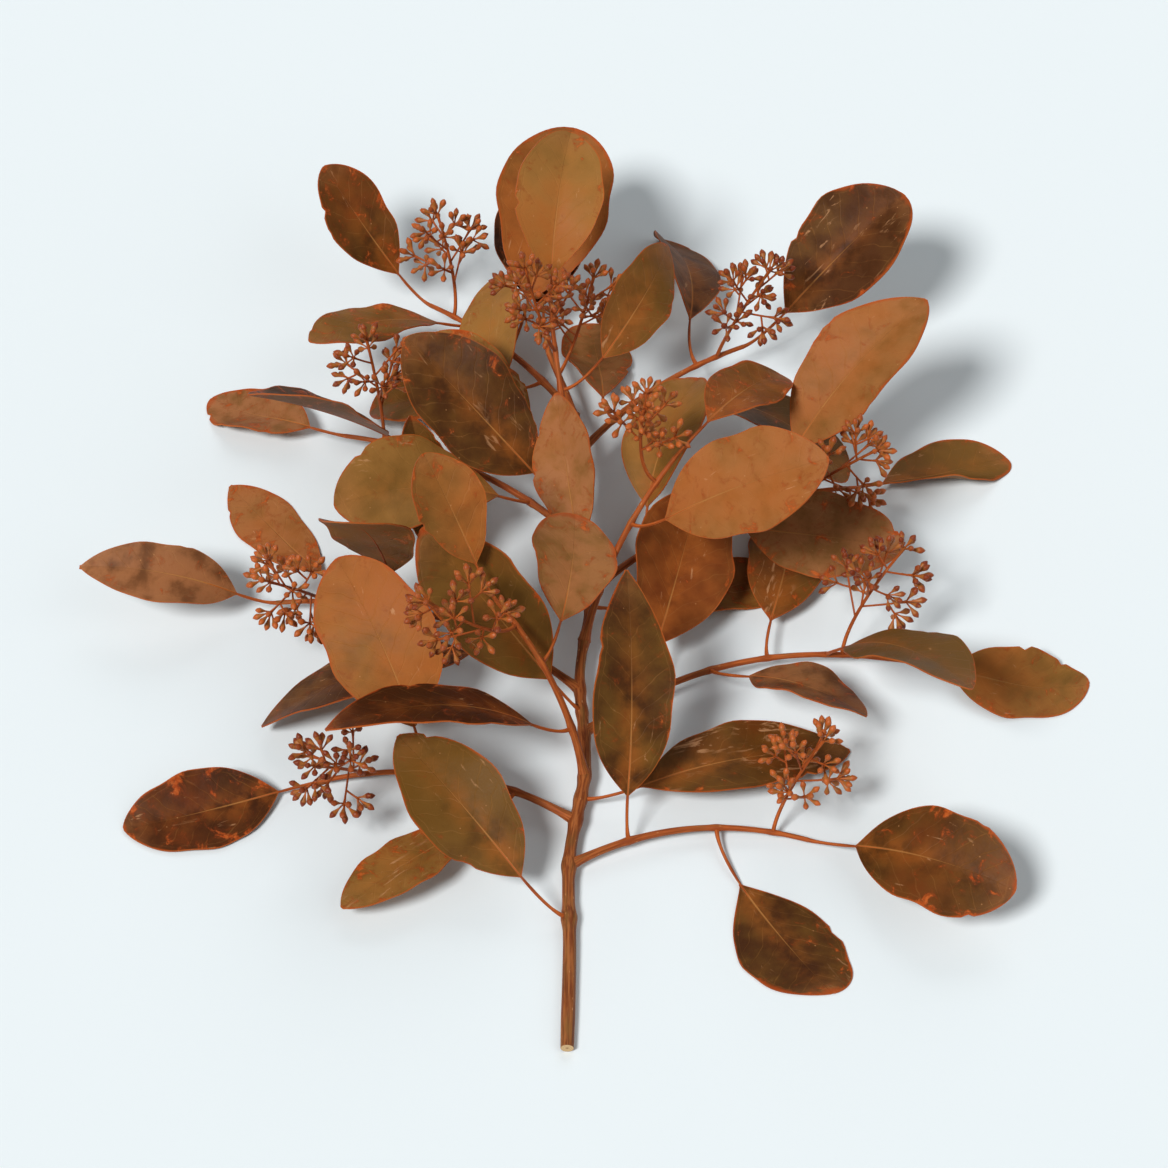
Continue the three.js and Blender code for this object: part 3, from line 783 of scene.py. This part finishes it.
def make_leaf_material():
    """Leathery olive-brown to rust, with an orange edge, a pale rim line that is partly a painted highlight,
    a pale midrib, faint veins, scars and scuffs.
    """
    material, tree, shader = new_material("leaf_blade", 0.1)
    leaf = leaf_fields(tree)
    colour, scar = leaf_scars(tree, leaf, leaf_ground(tree, leaf))
    vein, midrib = leaf_veins(tree, leaf)
    colour = blend(tree, times(tree, vein, ease(tree, leaf.middling, 0.35, 0.65, 0.03, 0.15)), colour, VEIN)
    colour = blend(tree, times(tree, midrib, ease(tree, leaf.share, 0.1, 0.85, 0.75, 0.06)), colour, VEIN)
    colour = leaf_edge(tree, leaf, leaf_scuffs(tree, leaf, colour))
    colour = blend(tree, times(tree, leaf.under, 0.38), colour, LEAF_UNDERSIDE)
    wire(tree, shader.inputs["Base Color"], colour)
    rough = total(tree, times(tree, leaf.fine, 0.16), times(tree, leaf.middling, 0.14), 0.36)
    wire(tree, shader.inputs["Roughness"], rough)
    relief = total(tree, times(tree, vein, -0.2), times(tree, midrib, -0.5), times(tree, leaf.middling, 1.1),
                   times(tree, leaf.fine, 0.2), times(tree, scar, 0.2))
    add_bump(tree, shader, relief, 0.6, 0.0005)
    return material


def make_bark_material():
    """Smooth orange-brown bark, duller where it is old, with lengthwise streaks and pale pores."""
    material, tree, shader = new_material("twig_bark", 0.18)
    grain = surface_value(tree, "grain", "Vector")
    streak = noise(tree, stretched(tree, grain, (1.4, 1.4, 0.06)), 1.0, 5, 0.6)
    patch = noise(tree, stretched(tree, grain, (0.35, 0.35, 0.07)), 1.0, 3)
    young = blend(tree, ease(tree, streak, 0.35, 0.68), BARK_DARK, BARK_LIGHT)
    old = blend(tree, ease(tree, streak, 0.4, 0.62), OLD_BARK_DARK, OLD_BARK_LIGHT)
    weathered = calc(tree, "ADD", surface_value(tree, "age"), swing(tree, patch, 1.2), clamp=True)
    colour = blend(tree, times(tree, weathered, 0.8), young, old)
    colour = blend(tree, ease(tree, patch, 0.5, 0.72, 0.0, 0.6), colour, BARK_OLIVE)
    colour = blend(tree, ease(tree, patch, 0.46, 0.28, 0.0, 0.55), colour, BARK_SHADE)
    pore = times(tree, specks(tree, stretched(tree, grain, (1.0, 1.0, 0.45)), 0.75, 0.26, 0.3), 0.5)
    wire(tree, shader.inputs["Base Color"], blend(tree, pore, colour, BARK_PORE))
    wire(tree, shader.inputs["Roughness"], total(tree, times(tree, streak, 0.25), 0.4))
    add_bump(tree, shader, total(tree, streak, pore), 0.6, 0.0003)
    return material


def make_cut_wood_material():
    """The pale cut face of the stem, with a darker pith and rim."""
    material, tree, shader = new_material("cut_wood", 0.25)
    x, y, _ = split(tree, surface_value(tree, "grain", "Vector"))
    out = calc(tree, "SQRT", total(tree, times(tree, x, x), times(tree, y, y)))
    rough = noise(tree, object_place(tree), 1400, 3)
    ring = calc(tree, "SINE", total(tree, times(tree, out, 9.0), times(tree, rough, 3.0)))
    colour = blend(tree, ease(tree, ring, -0.6, 1.0, 0.0, 0.5), CUT_PALE, CUT_RING)
    colour = blend(tree, ease(tree, out, 0.25, 0.6, 0.8, 0.0), colour, CUT_PITH)
    colour = blend(tree, ease(tree, out, 2.0, 2.5, 0.0, 0.9), colour, CUT_RIM)
    wire(tree, shader.inputs["Base Color"], colour)
    wire(tree, shader.inputs["Roughness"], 0.75)
    add_bump(tree, shader, rough, 0.5, 0.0002)
    return material


def make_nut_material():
    """Slightly shiny gum nuts: orange stalks, tan-olive bases and rust to maroon caps."""
    material, tree, shader = new_material("gum_nut", 0.28)
    place = object_place(tree)
    ripe = surface_value(tree, "ripe")
    mottle = noise(tree, place, 650, 4)
    deep = calc(tree, "ADD", surface_value(tree, "deep"), swing(tree, mottle, 0.9), clamp=True)
    colour = blend(tree, ease(tree, ripe, 0.3, 0.62), NUT_STALK, NUT_BASE)
    colour = blend(tree, ease(tree, ripe, 0.66, 0.76), colour, blend(tree, deep, NUT_CAP, NUT_DEEP_CAP))
    colour = blend(tree, ease(tree, ripe, 0.95, 1.0, 0.0, 0.7), colour, NUT_TIP)
    colour = blend(tree, ease(tree, mottle, 0.55, 0.75, 0.0, 0.5), colour, NUT_MOTTLE)
    fleck = times(tree, specks(tree, place, 1700, 0.25, 0.25), 0.4)
    wire(tree, shader.inputs["Base Color"], blend(tree, fleck, colour, NUT_FLECK))
    wire(tree, shader.inputs["Roughness"], total(tree, times(tree, mottle, 0.25), 0.28))
    add_bump(tree, shader, mottle, 0.4, 0.0003)
    return material


LEAF_BLADE = make_leaf_material()
TWIG_BARK = make_bark_material()
CUT_WOOD = make_cut_wood_material()
GUM_NUT = make_nut_material()


# Mesh helpers

def add_layers(bm, values, vectors):
    """Named values and vectors that the points carry to their material."""
    floats = {name: bm.verts.layers.float.new(name) for name in values}
    triples = {name: bm.verts.layers.float_vector.new(name) for name in vectors}
    return floats, triples


def face_outwards(bm):
    """Turns the faces of a closed shape outwards, also where it is long, thin and bent."""
    bmesh.ops.recalc_face_normals(bm, faces=bm.faces[:])
    if bm.calc_volume(signed=True) < 0:
        bmesh.ops.reverse_faces(bm, faces=bm.faces[:])


def take_mesh(bm, name="shape"):
    """The finished shape as a mesh."""
    mesh = bpy.data.meshes.new(name)
    bm.to_mesh(mesh)
    bm.free()
    return mesh


def add_object(name, data):
    """A new object in the scene, at the origin."""
    added = bpy.data.objects.new(name, data)
    bpy.context.collection.objects.link(added)
    return added


def join_mesh(bm, mesh, matrix=None):
    """Adds a finished shape to another one, moved by a matrix."""
    if matrix is not None:
        mesh.transform(matrix)
    bm.from_mesh(mesh)
    bpy.data.meshes.remove(mesh)


def mark_rod_faces(bm, material_index, end_material):
    """Gives a rod smooth sides, flat ends with sharp rims, and their materials."""
    for face in bm.faces:
        is_end = len(face.verts) > 4
        face.smooth = not is_end
        face.material_index = end_material if is_end else material_index
        if is_end:
            for edge in face.edges:
                edge.smooth = False


def rod_mesh(line, radius_at, sides, steps, material_index=0, end_material=None, ages=(0.0, 0.0)):
    """A round rod along a line, with its radius at each share of the way and its bark's age at both ends."""
    bm = bmesh.new()
    bmesh.ops.create_cone(bm, cap_ends=True, segments=sides, radius1=1, radius2=1, depth=1)
    lengthwise = [edge for edge in bm.edges if abs(edge.verts[0].co.z - edge.verts[1].co.z) > 0.5]
    bmesh.ops.subdivide_edges(bm, edges=lengthwise, cuts=steps - 1)
    floats, triples = add_layers(bm, ("age",), ("grain",))
    reach = np.linalg.norm(np.diff(line(np.linspace(0, 1, 20)), axis=0), axis=1).sum()
    frames = {}
    for vertex in bm.verts:
        t = min(max(vertex.co.z + 0.5, 0.0), 1.0)
        step = round(t * steps)
        if step not in frames:
            frames[step] = (line(t), *across_path(tangent(line, t)), float(radius_at(t)))
        centre, side, over, radius = frames[step]
        x, y = vertex.co.x * radius, vertex.co.y * radius
        vertex[triples["grain"]] = (x, y, t * reach)
        vertex[floats["age"]] = lerp(*ages, t)
        vertex.co = to_metres(centre + side * x + over * y)
    mark_rod_faces(bm, material_index, material_index if end_material is None else end_material)
    face_outwards(bm)
    return take_mesh(bm)


def above_floor(line, radius_at):
    """A rod's radius, held back where the rod would dip under the surface."""
    return lambda t: min(radius_at(t), float(line(t)[2]) - FLOOR_GAP)


def finish_piece(bm, name, materials, node):
    """The finished piece in place of its solid."""
    mesh = take_mesh(bm, name)
    for material in materials:
        mesh.materials.append(material)
    piece = add_object(name, mesh)
    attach(piece, "root")
    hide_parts(node)
    return piece


# The wood

def swelling(t, length, nodes, swell, reach):
    """How much the wood swells at a share of its length, near its nodes."""
    return 1 + sum(swell * math.exp(-(((t - node) * length) / reach) ** 2) for node in nodes)


def trunk_radius(t):
    """The stem's radius, with a knuckle wherever a twig or a leaf leaves it."""
    nodes = [twig[0] for twig in TWIGS] + STEM_LEAVES[:-1]
    return stem_radius(t) * swelling(t, STEM_LENGTH, nodes, STEM_KNUCKLE_SWELL, STEM_KNUCKLE_LENGTH)


def side_twig_radius(length, leaves):
    """A twig's radius at each share of its length, with a collar at its foot and knuckles."""
    nodes = twig_leaf_seats(leaves)[:-1] + [TWIG_CLUSTER_SEAT]

    def at(t):
        collar = 1 + COLLAR_SWELL * math.exp(-t * length / COLLAR_LENGTH)
        return twig_radius(t) * collar * swelling(t, length, nodes, TWIG_KNUCKLE_SWELL, TWIG_KNUCKLE_LENGTH)
    return at


def make_wood():
    """The stem with a cut face, and its side twigs."""
    bm = bmesh.new()
    radius = above_floor(STEM, trunk_radius)
    join_mesh(bm, rod_mesh(STEM, radius, STEM_SIDES, STEM_STEPS, end_material=1, ages=STEM_AGES))
    for line, (*_, length, leaves) in zip(TWIG_LINES, TWIGS):
        radius = above_floor(line, side_twig_radius(length, leaves))
        join_mesh(bm, rod_mesh(line, radius, TWIG_SIDES, TWIG_STEPS, ages=TWIG_AGES))
    return finish_piece(bm, "woody_stem", (TWIG_BARK, CUT_WOOD), "stem")


# A leaf

def leaf_tone(leaf):
    """How rusty, how light and how pink a leaf is."""
    return (draw(leaf.number, 31, -0.35, 0.85), draw(leaf.number, 32), draw(leaf.number, 33))


def leaf_marks(leaf):
    """How scarred a leaf is, how wide the orange band along its edge is, and how worn its dye is."""
    return (draw(leaf.number, 34), draw(leaf.number, 35), draw(leaf.number, 36))


def edge_notches(leaf, u, v):
    """How far the edge is bitten in, in a few small places."""
    trim = np.zeros_like(u)
    for i in range(EDGE_NOTCHES):
        if draw(leaf.number, 41 + i) > NOTCHED_SHARE:
            continue
        centre = draw(leaf.number, 44 + i, 0.2, 0.95)
        width = draw(leaf.number, 47 + i, 0.008, 0.02)
        depth = draw(leaf.number, 50 + i, 0.5, 1.8)
        side = 1 if draw(leaf.number, 53 + i) > 0.5 else -1
        trim += depth * np.exp(-((u - centre) / width) ** 2) * (v * side > 0)
    return trim


def waving(count, u, phase):
    """A number of waves along a blade."""
    return np.sin(2 * math.pi * count * u + phase)


def fine_half_width(leaf, u, v):
    """Half the width of the fine blade: wedge-shaped at the foot, a little uneven and notched."""
    shoulder = 1 - SHOULDER_CUT * np.exp(-u / SHOULDER_LENGTH)
    phase = np.where(v > 0, draw(leaf.number, 71, 0, 2 * math.pi), draw(leaf.number, 72, 0, 2 * math.pi))
    uneven = EDGE_SWELL * waving(EDGE_SWELLS, u, phase) + EDGE_WOBBLE * waving(EDGE_WOBBLES, u, 2 * phase)
    plain = half_width_at(leaf, u) * shoulder * (1 + uneven * np.sin(math.pi * u))
    return np.maximum(plain - edge_notches(leaf, u, v), LEAST_HALF_WIDTH)


def blade_shares(bm):
    """Each grid point's share of the way along and across a blade, crowded near the ends and edges."""
    flat = np.array([vertex.co for vertex in bm.verts])
    across, along = flat[:, 0], (flat[:, 1] + 1) / 2
    u = lerp(along, 0.5 - 0.5 * np.cos(math.pi * along), END_CROWDING)
    v = lerp(across, np.sin(across * math.pi / 2), EDGE_CROWDING)
    return u, v


def make_blade(leaf):
    """The blade: a grid bent to the leaf's form, with what its material needs, made a thin shell."""
    bm = bmesh.new()
    bmesh.ops.create_grid(bm, x_segments=LEAF_CELLS_ACROSS, y_segments=LEAF_CELLS_ALONG, size=1)
    floats, triples = add_layers(bm, ("share", "rim", "under"), ("tone", "marks", "sheet", "grain"))
    u, v = blade_shares(bm)
    half = fine_half_width(leaf, u, v)
    ripple = EDGE_RIPPLE * v * v * waving(EDGE_RIPPLES, u, leaf.wave_phase * 3 + v) * np.sin(math.pi * u)
    points = to_metres(blade_points(leaf, u, v, half, ripple))
    rim = np.minimum((1 - np.abs(v)) * half, (1 - u) * leaf.length * TIP_RIM_SHARE)
    tone = leaf_tone(leaf)
    marks = leaf_marks(leaf)
    for i, vertex in enumerate(bm.verts):
        vertex.co = points[i]
        vertex[floats["share"]] = u[i]
        vertex[floats["rim"]] = rim[i]
        vertex[triples["tone"]] = tone
        vertex[triples["marks"]] = marks
        vertex[triples["sheet"]] = (v[i] * half[i], u[i] * leaf.length, SHEET_SPACING * leaf.number)
    bm.normal_update()
    for vertex in bm.verts:
        vertex.co += vertex.normal * LEAF_THICKNESS / 2 * MM
    upper = set(bm.verts)
    bmesh.ops.solidify(bm, geom=bm.faces[:], thickness=LEAF_THICKNESS * MM)
    for vertex in bm.verts:
        vertex[floats["under"]] = 0.0 if vertex in upper else 1.0
    for face in bm.faces:
        face.smooth = True
        if 0 < sum(vertex in upper for vertex in face.verts) < len(face.verts):
            for edge in face.edges:
                edge.smooth = False
    face_outwards(bm)
    return bm


def petiole_mesh(leaf):
    """The leaf's stalk, from inside the wood to the foot of the midrib."""
    foot = blade_points(leaf, np.array([PETIOLE_REACH]), np.array([0.0]))[0]
    line = bezier(leaf.seat - leaf.out * (SEAT_GAP + PETIOLE_SUNK), leaf.bend_point, foot)
    foot_radius = leaf.radius_at(1) if leaf.t == 1 else PETIOLE_FOOT_RADIUS

    def radius(t):
        narrowed = max(0, (t - PETIOLE_NARROWS_AT) / (1 - PETIOLE_NARROWS_AT))
        plain = lerp(foot_radius, PETIOLE_RADIUS, min(t / PETIOLE_FOOT_SHARE, 1))
        return plain * lerp(1, PETIOLE_TIP_SHARE, narrowed)

    return rod_mesh(line, above_floor(line, radius), PETIOLE_SIDES, PETIOLE_STEPS, 1)


def keel_mesh(leaf):
    """The raised midrib under the blade."""
    midrib = blade_points(leaf, np.linspace(0.0, KEEL_REACH, KEEL_POINTS), np.zeros(KEEL_POINTS))
    line = spline(midrib - leaf.over * KEEL_DROP)
    radius = above_floor(line, lambda t: lerp(KEEL_RADIUS, KEEL_TIP_RADIUS, t))
    return rod_mesh(line, radius, KEEL_SIDES, KEEL_STEPS, 1)


def make_leaf(leaf):
    """A leaf: its blade, its petiole and its keel."""
    bm = make_blade(leaf)
    join_mesh(bm, petiole_mesh(leaf))
    join_mesh(bm, keel_mesh(leaf))
    name = f"leaf_{leaf.number:02d}"
    return finish_piece(bm, f"fine_{name}", (LEAF_BLADE, TWIG_BARK), name)


# A gum nut cluster

def make_nut_mesh():
    """One gum nut on its pedicel, turned about +Z: a slender club with a ridged, pointed cap."""
    bm = bmesh.new()
    floats, _ = add_layers(bm, ("ripe",), ())
    profile = [bm.verts.new((radius * MM, 0, share * NUT_REACH * MM)) for share, radius in NUT_PROFILE]
    for vertex, (share, _) in zip(profile, NUT_PROFILE):
        vertex[floats["ripe"]] = share
    edges = [bm.edges.new(pair) for pair in zip(profile, profile[1:])]
    bmesh.ops.spin(bm, geom=profile + edges, axis=(0, 0, 1), cent=(0, 0, 0), angle=2 * math.pi,
                   steps=NUT_SIDES, use_merge=True)
    bmesh.ops.remove_doubles(bm, verts=bm.verts[:], dist=1e-6)
    bmesh.ops.holes_fill(bm, edges=[edge for edge in bm.edges if edge.is_boundary])
    face_outwards(bm)
    for face in bm.faces:
        face.smooth = True
    return take_mesh(bm)


class Room:
    """The room that nuts may take: clear of the leaves, the wood and each other."""

    def __init__(self, pieces):
        points, faces = [], []
        for piece in pieces:
            first = len(points)
            points += [vertex.co for vertex in piece.data.vertices]
            faces += [[first + i for i in face.vertices] for face in piece.data.polygons]
        self.surface = BVHTree.FromPolygons(points, faces)
        self.centres = np.zeros((0, 3))
        self.radii = np.zeros(0)

    def takes(self, foot, direction, size):
        """Takes the room of a nut, or says that it isn't free."""
        centres = np.array([foot + direction * share * NUT_REACH * size for share, _ in NUT_BALLS])
        radii = np.array([radius * size for _, radius in NUT_BALLS])
        for centre, radius in zip(to_metres(centres), radii):
            if self.surface.find_nearest(Vector(centre), (radius + NUT_CLEARANCE) * MM)[0] is not None:
                return False
        apart = np.linalg.norm(self.centres[:, None] - centres[None], axis=2)
        gaps = apart - self.radii[:, None] - radii[None]
        if gaps.size and gaps.min() < NUT_CLEARANCE / 2:
            return False
        self.centres = np.vstack((self.centres, centres))
        self.radii = np.append(self.radii, radii)
        return True


def side_umbels(cluster):
    """Umbels on short stalks of their own, along the branches and the main stalk."""
    umbels = []
    for i, umbel in enumerate(cluster.umbels[1:]):
        root = lerp(umbel.root, umbel.foot, BRANCH_UMBEL_AT)
        turn = cluster.number * BRANCH_UMBEL_TURN + i * NEXT_BRANCH_UMBEL_TURN
        axis = leaned_off(umbel.axis, BRANCH_UMBEL_OPENING, turn)
        umbels.append(new_umbel(root, axis, BRANCH_UMBEL_STALK, BRANCH_NUTS_TURN * i))
    for i, share in enumerate(STALK_UMBELS_AT):
        turn = cluster.number * CLUSTER_TURN + STALK_UMBEL_TURN + i * GOLDEN_ANGLE
        axis = leaned_off(cluster.umbels[0].axis, STALK_UMBEL_OPENING, turn)
        umbels.append(new_umbel(cluster.stalk(share), axis, STALK_UMBEL_STALK, STALK_NUTS_TURN * i))
    return umbels


def umbel_nuts(cluster, place, umbel, room):
    """The nuts of one umbel that have room, as their foot, direction, size and number."""
    nuts = []
    foot = umbel.foot - umbel.axis * UMBEL_RADIUS
    for i in range(NUTS_AN_UMBEL):
        seed = cluster.number * 1000 + place * 10 + i
        direction = nut_direction(umbel, i, NUT_OPENING + draw(seed, 62, -9, 7))
        size = draw(seed, 63, 0.86, 1.06)
        if room.takes(foot, direction, size):
            nuts.append((foot, direction, size, seed))
    return nuts


def add_nut(bm, deep_layer, foot, direction, size, deep):
    """Adds one nut to a cluster, with how deep its colour is."""
    turn = Vector((0, 0, 1)).rotation_difference(Vector(direction)).to_matrix().to_4x4()
    nut = GUM_NUT_MESH.copy()
    first = len(bm.verts)
    join_mesh(bm, nut, Matrix.Translation(to_metres(foot)) @ turn @ Matrix.Scale(size, 4))
    bm.verts.ensure_lookup_table()
    for vertex in bm.verts[first:]:
        vertex[deep_layer] = deep


def knobbed(radius, t, knob, start):
    """A radius that swells to a knob from a share of the way on."""
    return radius + knob * max(0, t - start) / (1 - start)


def stalk_radius(t):
    return knobbed(lerp(STALK_RADIUS, STALK_TIP_RADIUS, t), t, STALK_KNOB, STALK_KNOB_AT)


def branch_radius(t):
    return knobbed(BRANCH_RADIUS, t, BRANCH_KNOB, BRANCH_KNOB_AT)


def branch_mesh(umbel):
    """The branch that carries an umbel, sagging a little."""
    middle = (umbel.root + umbel.foot) / 2 - UP * BRANCH_SAG
    return rod_mesh(bezier(umbel.root, middle, umbel.foot), branch_radius, BRANCH_SIDES, BRANCH_STEPS, 1)


def make_cluster(cluster, room):
    """A cluster: its stalk, its branches and the nuts that have room."""
    bm = bmesh.new()
    floats, _ = add_layers(bm, ("ripe", "deep"), ("grain",))
    join_mesh(bm, rod_mesh(cluster.stalk, stalk_radius, STALK_SIDES, STALK_STEPS, 1))
    first_umbels = cluster.umbels
    for place, umbel in enumerate(first_umbels + side_umbels(cluster)):
        nuts = umbel_nuts(cluster, place, umbel, room)
        if place >= len(first_umbels) and len(nuts) < FEWEST_NUTS:
            continue
        if place:
            join_mesh(bm, branch_mesh(umbel))
        for foot, direction, size, seed in nuts:
            deep = draw(cluster.number, 64) + draw(seed, 65, -0.35, 0.35)
            add_nut(bm, floats["deep"], foot, direction, size, min(1, max(0, deep)))
    name = f"gum_nut_cluster_{cluster.number:02d}"
    finish_piece(bm, f"fine_{name}", (GUM_NUT, TWIG_BARK), name)


GUM_NUT_MESH = make_nut_mesh()
firm_pieces = [make_wood()] + [make_leaf(leaf) for leaf in LEAVES]
nut_room = Room(firm_pieces)
for cluster in CLUSTERS:
    make_cluster(cluster, nut_room)
bpy.data.meshes.remove(GUM_NUT_MESH)


# Floor, light and camera

FLOOR_HALF_SIDE = 6
SKY_STRENGTH = 0.16
CAMERA_AIM = (0.0, -0.010, 0.028)
CAMERA_ELEVATION = 52
CAMERA_DISTANCE = 1.5
CAMERA_FOCAL_LENGTH = 128
CAMERA_SENSOR_WIDTH = 36


def make_floor():
    bm = bmesh.new()
    bmesh.ops.create_grid(bm, x_segments=1, y_segments=1, size=FLOOR_HALF_SIDE)
    material, _, shader = new_material("pale_floor", 0.1)
    shader.inputs["Base Color"].default_value = FLOOR_COLOUR
    shader.inputs["Roughness"].default_value = 0.9
    mesh = take_mesh(bm, "floor")
    mesh.materials.append(material)
    add_object("floor", mesh)


def add_light(name, comes_from, strength, softness, colour=(1, 1, 1)):
    """An even light from one direction, as soft as a lamp that many degrees across."""
    light = bpy.data.lights.new(name, "SUN")
    light.energy = strength
    light.angle = math.radians(softness)
    light.color = colour
    lamp = add_object(name, light)
    lamp.location = comes_from
    lamp.rotation_euler = Vector(comes_from).to_track_quat("Z", "Y").to_euler()


def make_light():
    world = bpy.data.worlds.new("studio")
    world.use_nodes = True
    background = world.node_tree.nodes["Background"]
    background.inputs["Color"].default_value = SKY_COLOUR
    background.inputs["Strength"].default_value = SKY_STRENGTH
    bpy.context.scene.world = world
    add_light("key", (-1.0, -1.2, 2.1), 2.65, 16, (1.0, 0.98, 0.96))
    add_light("fill", (1.2, -0.5, 1.1), 0.4, 50)
    add_light("back", (0.3, 1.3, 1.2), 0.6, 40)


def make_camera():
    camera = bpy.data.cameras.new("camera")
    camera.lens = CAMERA_FOCAL_LENGTH
    camera.sensor_width = CAMERA_SENSOR_WIDTH
    rig = add_object("camera", camera)
    rise = math.radians(CAMERA_ELEVATION)
    aim_at = Vector(CAMERA_AIM)
    rig.location = aim_at + Vector((0, -math.cos(rise), math.sin(rise))) * CAMERA_DISTANCE
    rig.rotation_euler = (aim_at - rig.location).to_track_quat("-Z", "Y").to_euler()
    bpy.context.scene.camera = rig


make_floor()
make_light()
make_camera()
bpy.context.scene.view_settings.view_transform = "Standard"
